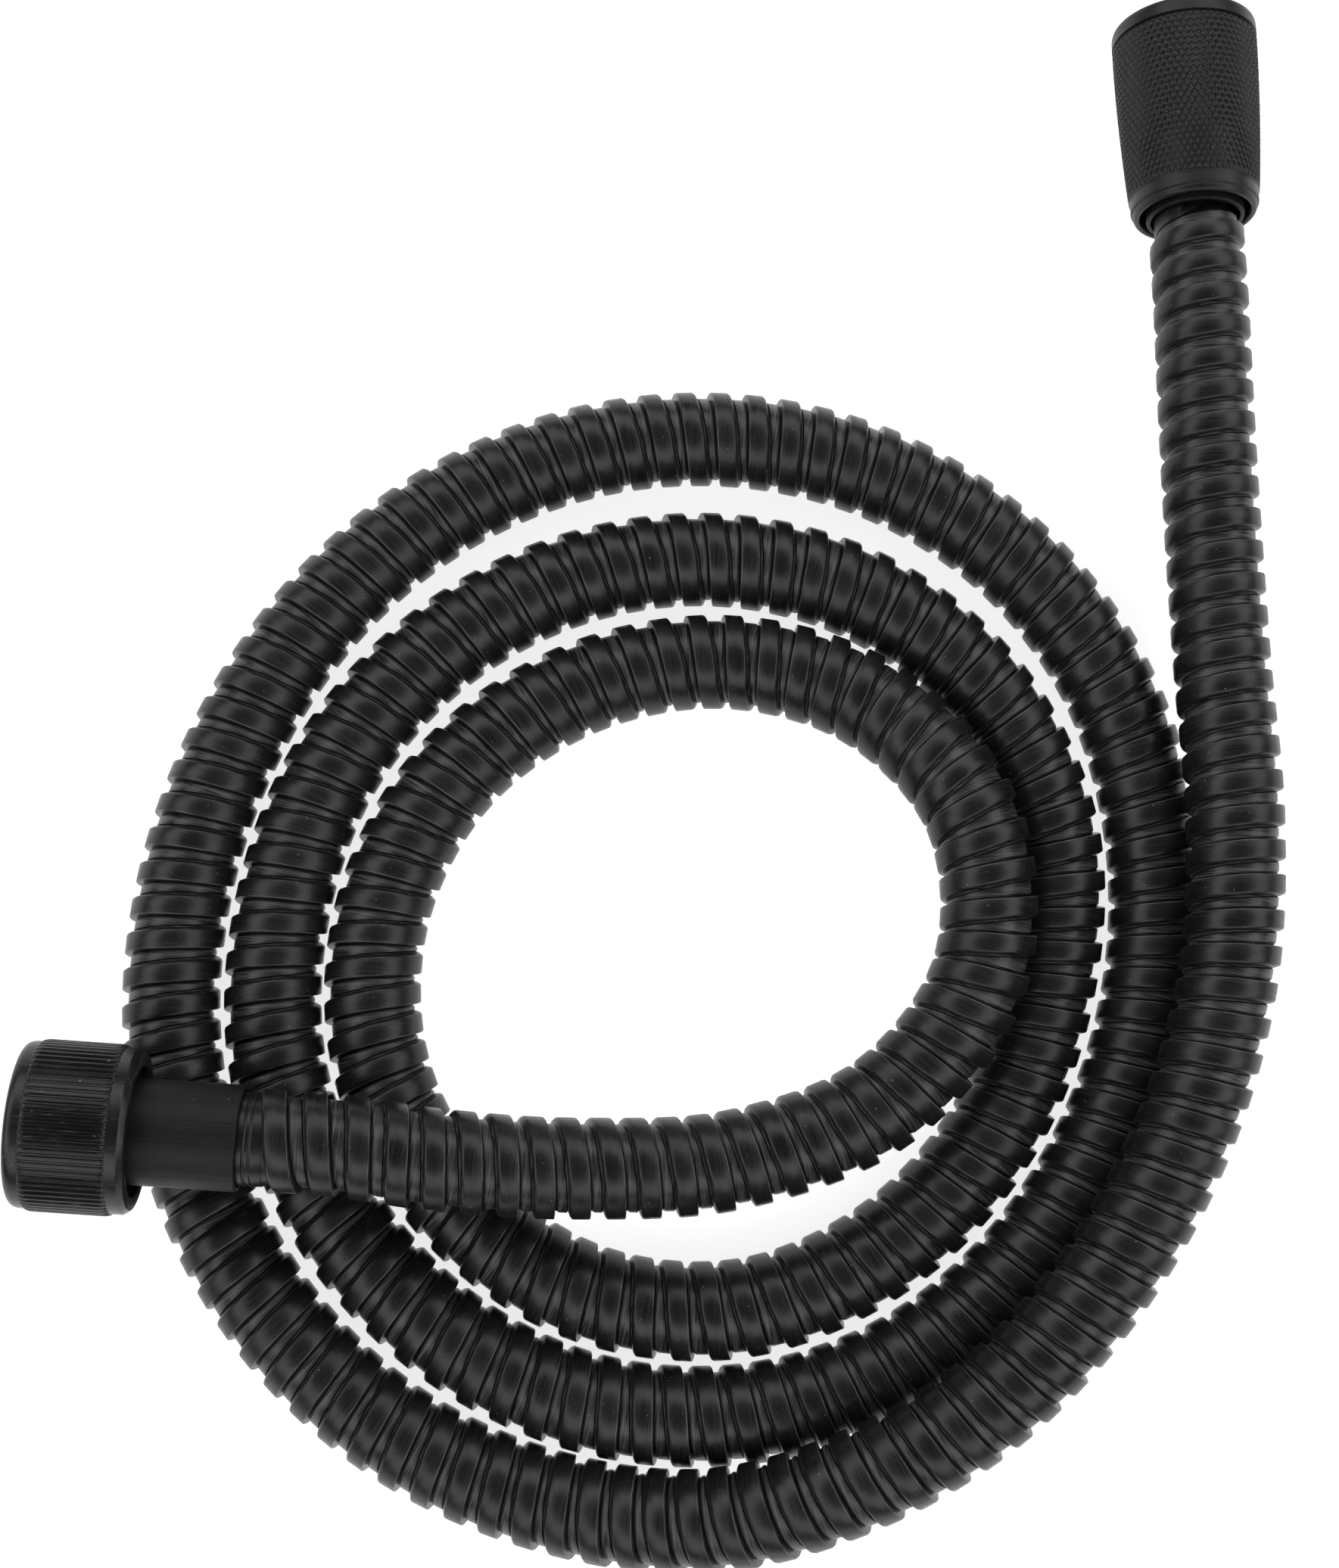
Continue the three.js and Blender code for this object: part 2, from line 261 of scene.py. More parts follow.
def turned(name, matrix, radii, heights):
    """A closed ring from rows x columns radii and heights in mm, rows going round
    the section counter-clockwise with the radius to the right."""
    rows, columns = radii.shape
    angle = around(columns)
    points = np.stack([
        radii * np.cos(angle), radii * np.sin(angle), heights * np.ones(columns),
    ], axis=-1).reshape(-1, 3) * MM
    world = np.array(matrix)
    points = points @ world[:3, :3].T + world[:3, 3]
    mesh = bpy.data.meshes.new(name)
    mesh.from_pydata(points.tolist(), [], ring_faces(rows, columns).tolist())
    return finish_mesh(name, mesh)


def softened(corners, steps=3):
    """A closed section with each corner [r, z, rounding] replaced by a small curve."""
    corners = [np.array(c, float) for c in corners]
    section = []
    for i, corner in enumerate(corners):
        here = corner[:2]
        before = corners[i - 1][:2] - here
        after = corners[(i + 1) % len(corners)][:2] - here
        reach_before = min(corner[2], np.linalg.norm(before) * 0.45)
        reach_after = min(corner[2], np.linalg.norm(after) * 0.45)
        if corner[2] == 0:
            section.append(here)
            continue
        a = here + before / np.linalg.norm(before) * reach_before
        b = here + after / np.linalg.norm(after) * reach_after
        for t in np.linspace(0, 1, steps + 1):
            section.append(a * (1 - t) ** 2 + here * 2 * t * (1 - t) + b * t ** 2)
    return np.array(section)


def plain_turned(name, matrix, corners, columns=96, steps=3):
    section = softened(corners, steps)
    radii = np.repeat(section[:, :1], columns, axis=1)
    return turned(name, matrix, radii, section[:, 1:])


# ---- the hose's centre line --------------------------------------------------------
def spline(points, per_span=40):
    """Centripetal Catmull-Rom through the points, the same curve as the CAD's."""
    p = np.array(points, float)
    p = np.vstack([2 * p[0] - p[1], p, 2 * p[-1] - p[-2]])
    u = np.arange(per_span)[:, None] / per_span
    spans = []
    for i in range(1, len(p) - 2):
        d0, d1, d2 = (np.linalg.norm(p[i + k] - p[i + k - 1]) ** 0.5 for k in range(3))
        a = (p[i] - p[i - 1]) / d0 - (p[i + 1] - p[i - 1]) / (d0 + d1)
        b = (p[i + 1] - p[i]) / d1 - (p[i + 2] - p[i]) / (d1 + d2)
        leave = (a + (p[i + 1] - p[i]) / d1) * d1
        arrive = (b + (p[i + 2] - p[i + 1]) / d2) * d1
        square = -3 * p[i] + 3 * p[i + 1] - 2 * leave - arrive
        cube = 2 * p[i] - 2 * p[i + 1] + leave + arrive
        spans.append(p[i] + leave * u + square * u ** 2 + cube * u ** 3)
    return np.vstack([*spans, p[-2:-1]])


def arc_lengths(points):
    steps = np.linalg.norm(np.diff(points, axis=0), axis=1)
    return np.concatenate([[0], np.cumsum(steps)])


def unit(vector):
    return vector / np.linalg.norm(vector)


class CentreLine:
    """The route in mm by arc length, with straight ends that run into the ferrules."""

    def __init__(self, step=0.5):
        curve = spline(np.array(ROUTE) + FRAME_SHIFT) / MM
        along = arc_lengths(curve)
        self.length = along[-1]
        first = unit(curve[0] - curve[1])
        last = unit(curve[-1] - curve[-2])
        self.tap_end = end_matrix(curve[0] * MM, first)
        self.cone_end = end_matrix(curve[-1] * MM, last)
        curve = np.vstack([curve[0] + first * LINE_TAIL, curve, curve[-1] + last * LINE_TAIL])
        along = np.concatenate([[-LINE_TAIL], along, [self.length + LINE_TAIL]])
        self.s = np.arange(-LINE_TAIL, self.length + LINE_TAIL, step)
        self.points = self.sample(curve, along, self.s)
        tangent = np.gradient(self.points, self.s, axis=0)
        self.tangent = tangent / np.linalg.norm(tangent, axis=1)[:, None]
        self.up = self.carried_up()
        self.side = np.cross(self.tangent, self.up)
        bend = np.gradient(self.tangent, self.s, axis=0)
        self.bend = self.smoothed(bend, BEND_SPAN / step)

    @staticmethod
    def sample(values, along, at):
        return np.stack([np.interp(at, along, v) for v in values.T], axis=-1)

    @staticmethod
    def smoothed(values, width):
        window = np.hanning(int(width) | 1)
        window /= window.sum()
        half = len(window) // 2
        padded = np.pad(values, ((half, half), (0, 0)), mode="edge")
        return np.stack([np.convolve(v, window, "valid") for v in padded.T], axis=-1)

    def carried_up(self):
        """A direction square to the line, carried along it without twist."""
        up = np.array([0, 0, 1.0])
        carried = []
        for t in self.tangent:
            up = unit(up - t * (up @ t))
            carried.append(up)
        return np.array(carried)

    def outward(self, s, angle):
        """The direction away from the line at that arc length and angle about it."""
        up = self.sample(self.up, self.s, s)
        side = self.sample(self.side, self.s, s)
        return up * np.cos(angle)[:, None] + side * np.sin(angle)[:, None]

    def surface(self, s, angle, radius):
        """Points at that arc length, angle about the line and radius, all in mm."""
        centre = self.sample(self.points, self.s, s)
        return centre + radius[:, None] * self.outward(s, angle)

    def stretch(self, s, angle, radius):
        """How much longer than the centre line the surface is there."""
        bend = self.sample(self.bend, self.s, s)
        return 1 - radius * (bend * self.outward(s, angle)).sum(axis=1)


# ---- wound strip -------------------------------------------------------------------
def turns_at(line):
    """Number of turns wound by each arc length of the line, 0 on the first crest."""
    pitch = PITCH * (1 + END_STRETCH * np.exp(-np.maximum(line.s, 0) / END_FADE))
    step = line.s[1] - line.s[0]
    turns = np.cumsum(step / pitch)
    return turns - np.interp(FIRST_CREST, line.s, turns)


def crest_lift(line, turns, wound, width):
    """0 where the strip is drawn down at either end of the hose, 1 on full crests."""
    last_end = np.interp(line.length + CONE_NECK - LAST_CREST_GAP, line.s, turns)
    last_crest = last_end - width / PITCH / 2
    rise = smoothstep((wound + RISE_START) / RISE_TURNS)
    return rise * smoothstep((last_crest - wound) / DROP_TURNS)


def strip_rows(line, first, last):
    """Corner points, strip coordinates and painted highlight, for turns from first to last."""
    turns = turns_at(line)
    k = np.arange(round(first * STEPS), round(last * STEPS) + 1)
    wound = k / STEPS
    angle = wound * 2 * math.pi
    crest = np.interp(wound, turns, line.s)
    next_crest = np.interp(wound + 1, turns, line.s)
    pitch = np.interp(wound + 0.5, turns, line.s) - np.interp(wound - 0.5, turns, line.s)
    width = CREST_W * (1 + CREST_GROWTH * (pitch / PITCH - 1))
    stretch = line.stretch(crest, angle, np.full(len(k), CREST_R))
    half = np.minimum(width / stretch, pitch - MIN_VALLEY / stretch) / 2
    next_half = np.interp(wound + 1, wound, half)
    lift = crest_lift(line, turns, wound, width)
    base = {"start": crest - half, "end": crest + half, "next": next_crest - next_half}
    valley = (base["next"] - base["end"]) * stretch
    squeeze = np.clip(valley / FREE_VALLEY, MIN_SQUEEZE, 1)
    rows, coords, edge_highlights = [], [], []
    for edge, offset, radius, edge_highlight in SECTION:
        in_valley = edge == "next" or (edge == "end" and offset > 0)
        s = base[edge] + offset * (squeeze if in_valley else 1) / stretch
        r = NECK_R + (radius - NECK_R) * lift
        rows.append(line.surface(s, angle, r))
        coords.append(np.stack([s, angle * CREST_R, r], axis=-1))
        # painted highlight for each corner, fading out where the strip is drawn down at the
        # ends
        edge_highlights.append(np.full(len(k), edge_highlight) * lift ** 4)
    return np.stack(rows, 1), np.stack(coords, 1), np.stack(edge_highlights, 1)


def strip_faces(count):
    """Quads of the wound strip, the last corner of a turn joined to the next turn."""
    width = len(SECTION)
    k = np.arange(count - 1)[:, None]
    j = np.arange(width - 1)[None, :]
    a = k * width + j
    quads = np.stack([a, a + width, a + width + 1, a + 1], axis=-1).reshape(-1, 4)
    k = np.arange(count - 1 - STEPS)
    a = k * width + width - 1
    b = (k + STEPS) * width
    seam = np.stack([a, a + width, b + width, b], axis=-1)
    return np.vstack([quads, seam])


def bore_wall(line, low, high, columns=20, spacing=5.0):
    """The tube's inside wall: its corner points and quads that face the axis."""
    s = np.linspace(low, high, int((high - low) / spacing) + 1)
    at, turn = (a.ravel() for a in np.meshgrid(s, around(columns), indexing="ij"))
    points = line.surface(at, turn, np.full(at.size, BORE_R))
    i, j = np.meshgrid(np.arange(len(s) - 1), np.arange(columns), indexing="ij")
    right = (j + 1) % columns
    quads = np.stack([
        i * columns + j, (i + 1) * columns + j,
        (i + 1) * columns + right, i * columns + right,
    ], axis=-1)
    return points, quads.reshape(-1, 4)


def bridge_ends(mesh):
    """Joins the open rims of the strip and of the bore wall at both ends."""
    one_end = 0.05  # metres, wider than a rim and less than the way to the other end
    bm = bmesh.new()
    bm.from_mesh(mesh)
    open_edges = [e for e in bm.edges if e.is_boundary]
    centre = sum((e.verts[0].co for e in open_edges), Vector()) / len(open_edges)
    far = max(open_edges, key=lambda e: (e.verts[0].co - centre).length).verts[0].co
    first = [e for e in open_edges if (e.verts[0].co - far).length < one_end]
    second = [e for e in open_edges if e not in set(first)]
    for rims in (first, second):
        bmesh.ops.bridge_loops(bm, edges=rims)
    bmesh.ops.recalc_face_normals(bm, faces=bm.faces)
    bm.to_mesh(mesh)
    bm.free()


def strip_mesh(rows, coords, edge_highlights, wall, wall_faces):
    """The strip and the bore wall as one closed mesh. Its "lay" is each corner's place
    along and round the strip, and its other attribute is how much painted highlight the
    corner gets, a bright line painted along the crest edges."""
    outside = rows.reshape(-1, 3)
    points = np.vstack([outside, wall]) * MM
    faces = np.vstack([strip_faces(len(rows)), wall_faces + len(outside)])
    mesh = bpy.data.meshes.new("hose_strip")
    mesh.from_pydata(points.tolist(), [], faces.tolist())
    lay = np.vstack([coords.reshape(-1, 3), np.zeros(wall.shape)]).astype(np.float32)
    # how much painted highlight each corner gets; none on the bore wall
    highlighted = np.concatenate([edge_highlights.ravel(), np.zeros(len(wall))]).astype(np.float32)
    mesh.attributes.new("lay", "FLOAT_VECTOR", "POINT").data.foreach_set("vector", lay.ravel())
    mesh.attributes.new("edge_highlight", "FLOAT", "POINT").data.foreach_set("value", highlighted)
    bridge_ends(mesh)
    return mesh


def add_strip(line):
    """The hose's outside, and the points that it follows from end to end."""
    turns = turns_at(line)
    first = np.interp(-TAP_NECK - GRIP, line.s, turns)
    last = np.interp(line.length + CONE_NECK + GRIP - PITCH, line.s, turns)
    rows, coords, edge_highlights = strip_rows(line, first, last)
    low, high = coords[0, 0, 0], coords[-1, -1, 0]
    wall, wall_faces = bore_wall(line, low + BORE_INSET, high - BORE_INSET)
    mesh = strip_mesh(rows, coords, edge_highlights, wall, wall_faces)
    strip = finish_mesh("hose_strip", mesh, sharp_degrees=32)
    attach(strip, "hose")
    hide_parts("hose_armour")
    path = line.sample(line.points, line.s, np.arange(low, high, PATH_STEP)) * MM
    return strip, path


# ---- end fittings ------------------------------------------------------------------
def stack_from(shoulder):
    """Where a fitting's pieces start, worked out from the nut's inner shoulder."""
    flange = shoulder + GAP + SLIP_RING_T + GAP
    return {"ferrule_end": flange - GAP, "flange": flange, "seal": flange + FLANGE_T + GAP}


TAP_NUT_START = TAP_NECK + TAP_FERRULE_SEEN
TAP_STACK = stack_from(TAP_NUT_START + TAP_LIP_T)
CONE_NUT_START = CONE_NECK + CONE_FERRULE_PROUD
CONE_STACK = stack_from(CONE_NUT_START + CONE_SHOULDER)


def add_sleeve(name, matrix, mouth, end, node):
    """A crimped ferrule, with small nicks round the edge of its mouth."""
    grip_end = mouth + GRIP + GAP
    section = softened([
        [FERRULE_NECK_BORE_R, mouth, 0.1], [FERRULE_R, mouth, 0.3], [FERRULE_R, end, 0.25],
        [FERRULE_LINER_BORE_R, end, 0.1], [FERRULE_LINER_BORE_R, grip_end, 0],
        [FERRULE_NECK_BORE_R, grip_end, 0],
    ], 4)
    columns = 256
    radii = np.repeat(section[:, :1], columns, axis=1)
    rng = np.random.default_rng(11)
    nick_share, nick_depth = 0.2, 0.06
    nicks = (rng.random(columns) > 1 - nick_share) * rng.random(columns) * nick_depth
    edge = (section[:, 0] > FERRULE_R - 0.3) & (section[:, 1] < mouth + 0.35)
    radii[edge] -= nicks
    piece = turned(name, matrix, radii, section[:, 1:])
    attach(piece, "hose")
    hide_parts(node)
    return piece


def add_neck(name, matrix, mouth):
    """The last winding, rolled down to enter the ferrule, with two fine ridges."""
    bore, outside = 6.38, 6.56
    corners = [[bore, -1.0, 0], [outside - 0.06, -1.0, 0.08], [outside, 0.1, 0.1]]
    for ridge in (mouth - 1.8, mouth - 0.95):
        corners += [
            [outside, ridge - 0.22, 0.06], [outside + 0.16, ridge, 0.1],
            [outside - 0.02, ridge + 0.16, 0.06],
        ]
    corners += [[outside, mouth + 2, 0.1], [bore, mouth + 2, 0]]
    piece = plain_turned(name, matrix, corners)
    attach(piece, "hose")
    return piece


def add_tail(name, matrix, flange, node):
    """The barbed tail that the liner is pushed on, and the flange the washer meets."""
    tip = flange - TAIL_STEM
    front = flange + FLANGE_T
    corners = [[TAIL_BORE_R, tip, 0.2], [TAIL_ROOT_R, tip, 0.2]]
    for barb in range(BARBS):
        z = tip + 0.6 + barb * BARB_PITCH
        corners += [
            [TAIL_ROOT_R, z, 0], [TAIL_BARB_R, z + BARB_L, 0.08],
            [TAIL_ROOT_R, z + BARB_L, 0.1],
        ]
    corners += [
        [TAIL_ROOT_R, flange, 0.2], [FLANGE_R, flange, 0.2], [FLANGE_R, front, 0.25],
        [TAIL_BORE_R, front, 0.35],
    ]
    piece = plain_turned(name, matrix, corners)
    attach(piece, "hose")
    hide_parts(node)
    return piece


def add_washer(name, matrix, start, body, node):
    end = start + SEAL_T
    corners = [
        [SEAL_BORE_R, start, 0.25], [SEAL_R, start, 0.35], [SEAL_R, end, 0.35],
        [SEAL_BORE_R, end, 0.25],
    ]
    piece = plain_turned(name, matrix, corners, steps=4)
    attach(piece, body)
    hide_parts(node)
    return piece


# ---- nuts, from blocks of rows (radii, heights) that go round their sections -------
def plain_rows(corners, columns, steps=3):
    """Rows of a nut's section that are round, from open corners [r, z, rounding]."""
    section = softened([*corners, [0, 0, 0]], steps)[:-1]
    return np.repeat(section[:, :1], columns, axis=1), section[:, 1:]


def thread_rows(mouth, seat, columns):
    """Rows of a right-hand thread, from the nut's mouth down to seat."""
    lead_in = 0.9
    run_out = 1.2
    row_step = 0.22
    heights = np.arange(mouth - lead_in, seat, -row_step)
    phase = heights[:, None] / THREAD_PITCH - around(columns) / (2 * math.pi)
    tooth = np.clip(sawtooth(phase) * 1.5 - 0.25, 0, 1)
    starts = smoothstep((mouth - lead_in - heights) / lead_in)
    fade = starts * smoothstep((heights - seat) / run_out)
    radii = THREAD_MINOR_R + THREAD_DEPTH * tooth * fade[:, None]
    return radii, heights[:, None]


def rib_rows(columns):
    """Straight ribs with rounded ends, as rows up the tap nut."""
    turn = around(columns) / (2 * math.pi) * RIBS
    wave = np.clip(1.35 * np.cos(turn * 2 * math.pi) * 0.5 + 0.55, 0, 1)
    ends = np.array([0, 0.08, 0.22, 0.5, 1.0])
    swell = np.sqrt(1 - (1 - ends) ** 2)
    heights = np.concatenate([RIB_START + ends, (RIB_END - ends)[::-1]])
    lift = np.concatenate([swell, swell[::-1]])
    return RIB_ROOT_R + RIB_H * lift[:, None] * wave, heights[:, None]


def knurl_rows(columns):
    """Diamond knurl as crossed grooves on the cone nut's barrel."""
    run_out = 0.5
    end_sink = 0.02
    length = KNURL_END - KNURL_START
    step = KNURL_LEAD / (columns / KNURL_STARTS)
    heights = np.linspace(KNURL_START, KNURL_END, round(length / step) + 1)[:, None]
    turn = around(columns) / (2 * math.pi) * KNURL_STARTS
    taper = (KNURL_END - heights) / length
    barrel = CONE_BIG_R - (CONE_BIG_R - CONE_SMALL_R) * taper ** CONE_BULGE
    one_way, other_way = (sawtooth(turn + lean * heights / KNURL_LEAD) for lean in (1, -1))
    cut = np.minimum(one_way, other_way)
    starts = smoothstep((heights - KNURL_START) / run_out)
    fade = starts * smoothstep((KNURL_END - heights) / run_out)
    tops = np.minimum(cut, KNURL_TOP) / KNURL_TOP
    return barrel - KNURL_DEPTH * (1 - tops * fade) - end_sink * (1 - fade), heights


def add_nut(name, matrix, start, blocks, node):
    """A nut from blocks of rows, in order all the way round its section."""
    radii = np.vstack([block[0] for block in blocks])
    heights = np.vstack([block[1] for block in blocks]) + start
    piece = turned(name, matrix, radii, heights)
    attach(piece, node)
    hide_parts(node)
    return piece


def add_tap_nut(matrix):
    columns = RIBS * 8
    lip, end = TAP_LIP_BORE_R, TAP_NUT_L
    blocks = [
        plain_rows([
            [lip, TAP_COUNTERBORE_T, 0], [TAP_COUNTERBORE_R, TAP_COUNTERBORE_T, 0.1],
            [TAP_COUNTERBORE_R, TAP_RIM, 0.15], [RIB_ROOT_R - 0.65, TAP_RIM, 0.2],
            [RIB_ROOT_R, TAP_RIM + 0.95, 0.12], [RIB_ROOT_R, RIB_START - 0.05, 0],
        ], columns),
        rib_rows(columns),
        plain_rows([
            [RIB_ROOT_R, RIB_END + 0.05, 0], [RIB_ROOT_R, end - 1, 0.5],
            [RIB_ROOT_R - 0.3, end - 0.3, 0.4], [RIB_ROOT_R - 0.8, end, 0.2],
            [THREAD_MOUTH_R, end, 0.15], [THREAD_MINOR_R + 0.05, end - 0.85, 0],
        ], columns),
        thread_rows(end, TAP_THREAD_SEAT, columns),
        plain_rows([
            [THREAD_MINOR_R, TAP_LIP_T, 0], [lip, TAP_LIP_T, 0.15],
            [lip, (TAP_LIP_T + TAP_COUNTERBORE_T) / 2, 0],
        ], columns),
    ]
    return add_nut("tap_ribbed_nut", matrix, TAP_NUT_START, blocks, "tap_nut")


def add_cone_nut(matrix):
    columns = KNURL_STARTS * 8
    mouth, collar, end = CONE_MOUTH_R, CONE_COLLAR_R, CONE_NUT_L
    blocks = [
        plain_rows([
            [mouth, 1.2, 0], [mouth, 0.5, 0.3], [mouth + 0.35, 0.0, 0.35],
            [collar - 0.5, 0.15, 0.4], [collar - 0.25, 0.95, 0.25],
            [collar - 0.3, 1.15, 0.05], [collar, 1.3, 0.2],
            [collar, KNURL_START - 0.45, 0.1], [CONE_SMALL_R - 0.02, KNURL_START - 0.1, 0.05],
        ], columns),
        knurl_rows(columns),
        plain_rows([
            [CONE_BIG_R, KNURL_END + 0.1, 0], [CONE_BIG_R, end - 0.7, 0.4],
            [CONE_BIG_R - 0.15, end - 0.2, 0.3], [CONE_BIG_R - 0.4, end, 0.1],
            [THREAD_MOUTH_R, end, 0.1], [THREAD_MINOR_R + 0.05, end - 0.85, 0],
        ], columns),
        thread_rows(end, CONE_THREAD_SEAT, columns),
        plain_rows([
            [THREAD_MINOR_R, CONE_SHOULDER, 0], [mouth, CONE_SHOULDER, 0.15],
            [mouth, CONE_SHOULDER - 2.5, 0],
        ], columns, steps=2),
    ]
    return add_nut("cone_knurled_nut", matrix, CONE_NUT_START, blocks, "cone_nut")


# ---- materials ---------------------------------------------------------------------
class Look:
    """A node material: a Principled shader with noise on its colour, gloss and bump."""

    def __init__(self, name, roughness, metallic=0.0, specular=0.5):
        self.material = bpy.data.materials.new(name)
        self.material.use_nodes = True
        self.tree = self.material.node_tree
        self.shader = self.tree.nodes["Principled BSDF"]
        self.shader.inputs["Metallic"].default_value = metallic
        self.shader.inputs["Roughness"].default_value = roughness
        self.shader.inputs["Specular IOR Level"].default_value = specular
        self.place = self.tree.nodes.new("ShaderNodeTexCoord").outputs["Object"]

    def node(self, kind, inputs=(), **settings):
        made = self.tree.nodes.new(kind)
        for key, value in settings.items():
            setattr(made, key, value)
        for name, value in inputs:
            if isinstance(value, bpy.types.NodeSocket):
                self.tree.links.new(value, made.inputs[name])
            else:
                made.inputs[name].default_value = value
        return made

    def noise(self, per_metre, detail=3.0, roughness=0.55, place=None):
        """Noise from 0 to 1; per_metre is one scale or one for each axis."""
        scale = per_metre if isinstance(per_metre, tuple) else (per_metre,) * 3
        mapping = self.node("ShaderNodeMapping", [
            ("Vector", place or self.place), ("Scale", scale),
        ])
        return self.node("ShaderNodeTexNoise", [
            ("Vector", mapping.outputs["Vector"]), ("Scale", 1.0),
            ("Detail", detail), ("Roughness", roughness),
        ]).outputs["Fac"]

    def spread(self, value, low, high, to_low=0.0, to_high=1.0):
        """The value, with low to high stretched to cover to_low to to_high."""
        return self.node("ShaderNodeMapRange", [
            ("Value", value), ("From Min", low), ("From Max", high),
            ("To Min", to_low), ("To Max", to_high),
        ]).outputs["Result"]

    def maths(self, operation, a, b):
        return self.node("ShaderNodeMath", [(0, a), (1, b)], operation=operation).outputs[0]

    def mixed(self, amount, first, second):
        """A colour between first and second, which are colours or sockets."""
        made = self.node("ShaderNodeMix", data_type="RGBA")
        self.tree.links.new(amount, made.inputs["Factor"])
        for socket, value in (("A", first), ("B", second)):
            target = [i for i in made.inputs if i.name == socket and i.type == "RGBA"][0]
            if isinstance(value, bpy.types.NodeSocket):
                self.tree.links.new(value, target)
            else:
                target.default_value = (*value, 1)
        return [o for o in made.outputs if o.type == "RGBA"][0]

    def colour(self, value):
        self.tree.links.new(value, self.shader.inputs["Base Color"])

    def gloss(self, value):
        self.tree.links.new(value, self.shader.inputs["Roughness"])

    def bump(self, heights):
        """Bumps from pairs (value, depth in metres), the coarsest first."""
        normal = None
        for value, depth in heights:
            inputs = [("Height", value), ("Distance", depth), ("Strength", 1.0)]
            if normal is not None:
                inputs.append(("Normal", normal))
            normal = self.node("ShaderNodeBump", inputs).outputs["Normal"]
        self.tree.links.new(normal, self.shader.inputs["Normal"])


def strip_look():
    """Black-coated steel strip: rolling streaks, a painted highlight on crest edges, dust
    specks.
    """
    look = Look("black_strip", 0.35, specular=0.3)
    lay = look.node("ShaderNodeAttribute", attribute_name="lay").outputs["Vector"]
    edge_highlight = look.node("ShaderNodeAttribute", attribute_name="edge_highlight").outputs["Fac"]
    streaks = look.noise((5.0, 0.10, 1.0), 4, 0.6, lay)
    blotches = look.noise(130.0, 3)
    grain = look.noise(5200.0, 2)
    specks = look.spread(look.noise(2600.0, 1), 0.76, 0.80)
    tone = look.mixed(blotches, (0.0028, 0.0028, 0.0029), (0.0050, 0.0050, 0.0051))
    # painted highlight: a bright line along the crest edges where they catch the light, broken
    # up by the streaks
    painted_highlight = look.maths("MULTIPLY", edge_highlight, look.spread(streaks, 0.35, 0.7))
    highlighted = look.mixed(painted_highlight, tone, (0.11, 0.11, 0.112))
    look.colour(look.mixed(specks, highlighted, (0.11, 0.11, 0.11)))
    rough = look.spread(streaks, 0.3, 0.7, 0.27, 0.38)
    look.gloss(look.maths("ADD", rough, look.spread(blotches, 0.3, 0.7, -0.04, 0.05)))
    look.bump([(streaks, 0.000016), (grain, 0.000014)])
    return look.material


def metal_look():
    """The same black coating on a turned brass part: finer grain, faint turning."""
    look = Look("black_metal", 0.38, specular=0.28)
    blotches = look.noise(160.0, 4)
    grain = look.noise(4200.0, 2)
    smears = look.noise((900.0, 60.0, 60.0), 3)
    specks = look.spread(look.noise(2100.0, 1), 0.77, 0.81)
    tone = look.mixed(blotches, (0.0036, 0.0036, 0.0037), (0.0066, 0.0066, 0.0067))
    look.colour(look.mixed(specks, tone, (0.12, 0.12, 0.12)))
    rough = look.spread(blotches, 0.3, 0.7, 0.34, 0.44)
    look.gloss(look.maths("ADD", rough, look.spread(smears, 0.3, 0.7, -0.03, 0.04)))
    look.bump([(smears, 0.00002), (grain, 0.000012)])
    return look.material


def ferrule_look():
    """The crimped sleeves: an even, duller coat of the same black."""
    look = Look("black_ferrule", 0.5, specular=0.2)
    blotches = look.noise(180.0, 4)
    grain = look.noise(4600.0, 2)
    smears = look.noise((700.0, 80.0, 80.0), 3)
    specks = look.spread(look.noise(2300.0, 1), 0.77, 0.81)
    tone = look.mixed(blotches, (0.0030, 0.0030, 0.0031), (0.0056, 0.0056, 0.0057))
    look.colour(look.mixed(specks, tone, (0.12, 0.12, 0.12)))
    rough = look.spread(blotches, 0.3, 0.7, 0.46, 0.56)
    look.gloss(look.maths("ADD", rough, look.spread(smears, 0.3, 0.7, -0.03, 0.04)))
    look.bump([(smears, 0.00002), (grain, 0.000014)])
    return look.material


def plastic_look():
    """Moulded black plastic, a little glossier, with handling marks."""
    look = Look("black_plastic", 0.3, specular=0.3)
    blotches = look.noise(220.0, 4)
    marks = look.noise((300.0, 2600.0, 2600.0), 3)
    grain = look.noise(6000.0, 2)
    specks = look.spread(look.noise(1900.0, 1), 0.76, 0.80)
    tone = look.mixed(blotches, (0.0030, 0.0030, 0.0031), (0.0052, 0.0052, 0.0053))
    scuffed = look.mixed(look.spread(marks, 0.62, 0.72), tone, (0.028, 0.028, 0.028))
    look.colour(look.mixed(specks, scuffed, (0.12, 0.12, 0.12)))
    rough = look.spread(blotches, 0.3, 0.7, 0.24, 0.34)
    look.gloss(look.maths("ADD", rough, look.spread(marks, 0.5, 0.75, 0.0, 0.10)))
    look.bump([(marks, 0.000012), (grain, 0.000006)])
    return look.material


def brass_look():
    look = Look("brass", 0.3, metallic=1.0)
    stain = look.noise(260.0, 4)
    grain = look.noise(3800.0, 3)
    look.colour(look.mixed(stain, (0.42, 0.29, 0.10), (0.70, 0.53, 0.24)))
    look.gloss(look.spread(stain, 0.3, 0.7, 0.22, 0.40))
    look.bump([(stain, 0.00002), (grain, 0.00001)])
    return look.material


def rubber_look(name):
    look = Look(name, 0.75, specular=0.35)
    bloom = look.noise(300.0, 4)
    grain = look.noise(5000.0, 3)
    look.colour(look.mixed(bloom, (0.010, 0.010, 0.010), (0.026, 0.026, 0.027)))
    look.gloss(look.spread(bloom, 0.3, 0.7, 0.66, 0.84))
    look.bump([(bloom, 0.00004), (grain, 0.00002)])
    return look.material


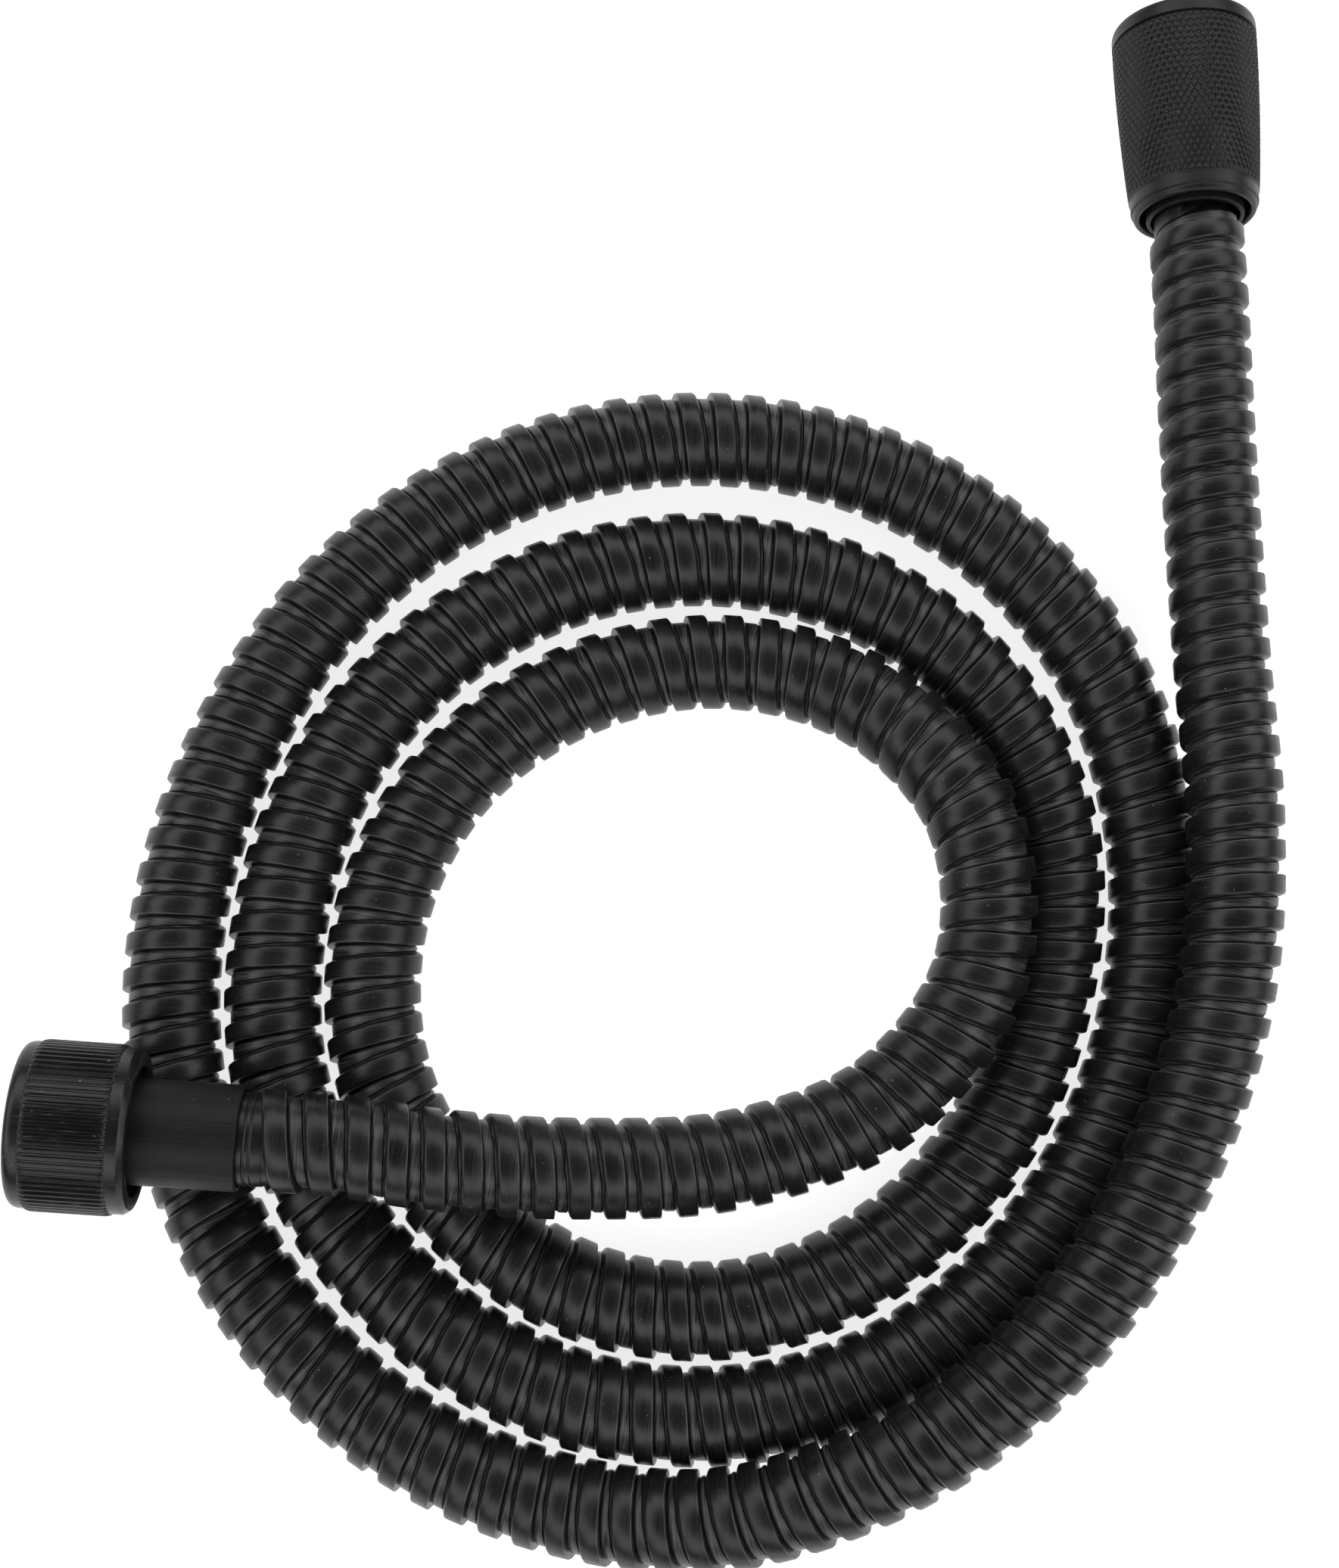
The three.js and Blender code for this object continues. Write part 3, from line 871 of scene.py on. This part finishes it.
def slip_ring_look():
    look = Look("slip_ring_plastic", 0.5)
    tint = look.noise(400.0, 3)
    grain = look.noise(3000.0, 2)
    look.colour(look.mixed(tint, (0.62, 0.60, 0.55), (0.80, 0.79, 0.74)))
    look.gloss(look.spread(tint, 0.3, 0.7, 0.42, 0.58))
    look.bump([(grain, 0.00001)])
    return look.material


def floor_look():
    """A pale light table: its own glow keeps the gaps between the turns bright."""
    look = Look("floor", 0.85, specular=0.2)
    tint = look.noise(8.0, 2)
    look.colour(look.mixed(tint, (0.46, 0.46, 0.46), (0.48, 0.48, 0.48)))
    look.shader.inputs["Emission Color"].default_value = (1, 1, 1, 1)
    look.shader.inputs["Emission Strength"].default_value = FLOOR_GLOW
    return look.material


def wear_look(piece, material):
    piece.data.materials.clear()
    piece.data.materials.append(material)


# ---- floor and light ---------------------------------------------------------------
def add_floor():
    half = FLOOR_HALF
    mesh = bpy.data.meshes.new("floor")
    corners = [(-half, -half, 0), (half, -half, 0), (half, half, 0), (-half, half, 0)]
    mesh.from_pydata(corners, [], [(0, 1, 2, 3)])
    floor = bpy.data.objects.new("floor", mesh)
    bpy.context.scene.collection.objects.link(floor)
    wear_look(floor, floor_look())


def add_softbox(name, place):
    """A round area light that faces the scene's origin."""
    data = bpy.data.lights.new(name, "AREA")
    data.shape = "DISK"
    data.size = SOFTBOX_SIZE
    data.energy = SOFTBOX_POWER
    light = bpy.data.objects.new(name, data)
    light.location = place
    light.rotation_mode = "QUATERNION"
    light.rotation_quaternion = (-Vector(place)).to_track_quat("-Z", "Y")
    bpy.context.scene.collection.objects.link(light)


def add_softboxes():
    flat = SOFTBOX_DISTANCE * math.cos(SOFTBOX_RISE)
    height = SOFTBOX_DISTANCE * math.sin(SOFTBOX_RISE)
    for i in range(SOFTBOX_COUNT):
        azimuth = (i + 0.5) * 2 * math.pi / SOFTBOX_COUNT
        place = (flat * math.cos(azimuth), flat * math.sin(azimuth), height)
        add_softbox(f"softbox_{i + 1}", place)


def add_world():
    world = bpy.data.worlds.new("studio")
    world.use_nodes = True
    back = world.node_tree.nodes["Background"]
    back.inputs["Color"].default_value = (1, 1, 1, 1)
    back.inputs["Strength"].default_value = WORLD_STRENGTH
    bpy.context.scene.world = world


# ---- the whole scene ---------------------------------------------------------------
def add_cone_end(matrix):
    """The cone end's sleeve, tail, washer and nut."""
    stack = CONE_STACK
    return [
        add_sleeve("cone_sleeve", matrix, CONE_NECK, stack["ferrule_end"], "cone_ferrule"),
        add_tail("cone_tail", matrix, stack["flange"], "cone_hose_tail"),
        add_washer("cone_washer", matrix, stack["seal"], "cone_turning", "cone_seal"),
        add_cone_nut(matrix),
    ]


def add_tap_end(matrix):
    """The tap end's sleeve, neck, tail, washer and nut."""
    stack = TAP_STACK
    return [
        add_sleeve("tap_sleeve", matrix, TAP_NECK, stack["ferrule_end"], "tap_ferrule"),
        add_neck("tap_neck", matrix, TAP_NECK),
        add_tail("tap_tail", matrix, stack["flange"], "tap_hose_tail"),
        add_washer("tap_washer", matrix, stack["seal"], "tap_turning", "tap_seal"),
        add_tap_nut(matrix),
    ]


def dress(strip, tap_pieces, cone_pieces):
    """Gives every piece its look, the CAD pieces that are shown as they are included."""
    wound, ferrule, brass = strip_look(), ferrule_look(), brass_look()
    seal, slip = rubber_look("seal_rubber"), slip_ring_look()
    wear_look(strip, wound)
    for piece, look in zip(tap_pieces, (ferrule, wound, brass, seal, plastic_look())):
        wear_look(piece, look)
    for piece, look in zip(cone_pieces, (ferrule, brass, seal, metal_look())):
        wear_look(piece, look)
    wear_look(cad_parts["hose_liner"], rubber_look("liner_rubber"))
    for node in ("tap_slip_ring", "cone_slip_ring"):
        wear_look(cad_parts[node], slip)


def main():
    add_camera()
    line = CentreLine()
    strip, path = add_strip(line)
    cone_pieces = add_cone_end(line.cone_end)
    tap_pieces = add_tap_end(line.tap_end)
    dress(strip, tap_pieces, cone_pieces)

    add_floor()
    add_softboxes()
    add_world()
    view = bpy.context.scene.view_settings
    view.view_transform = "Standard"
    view.look = "None"


main()
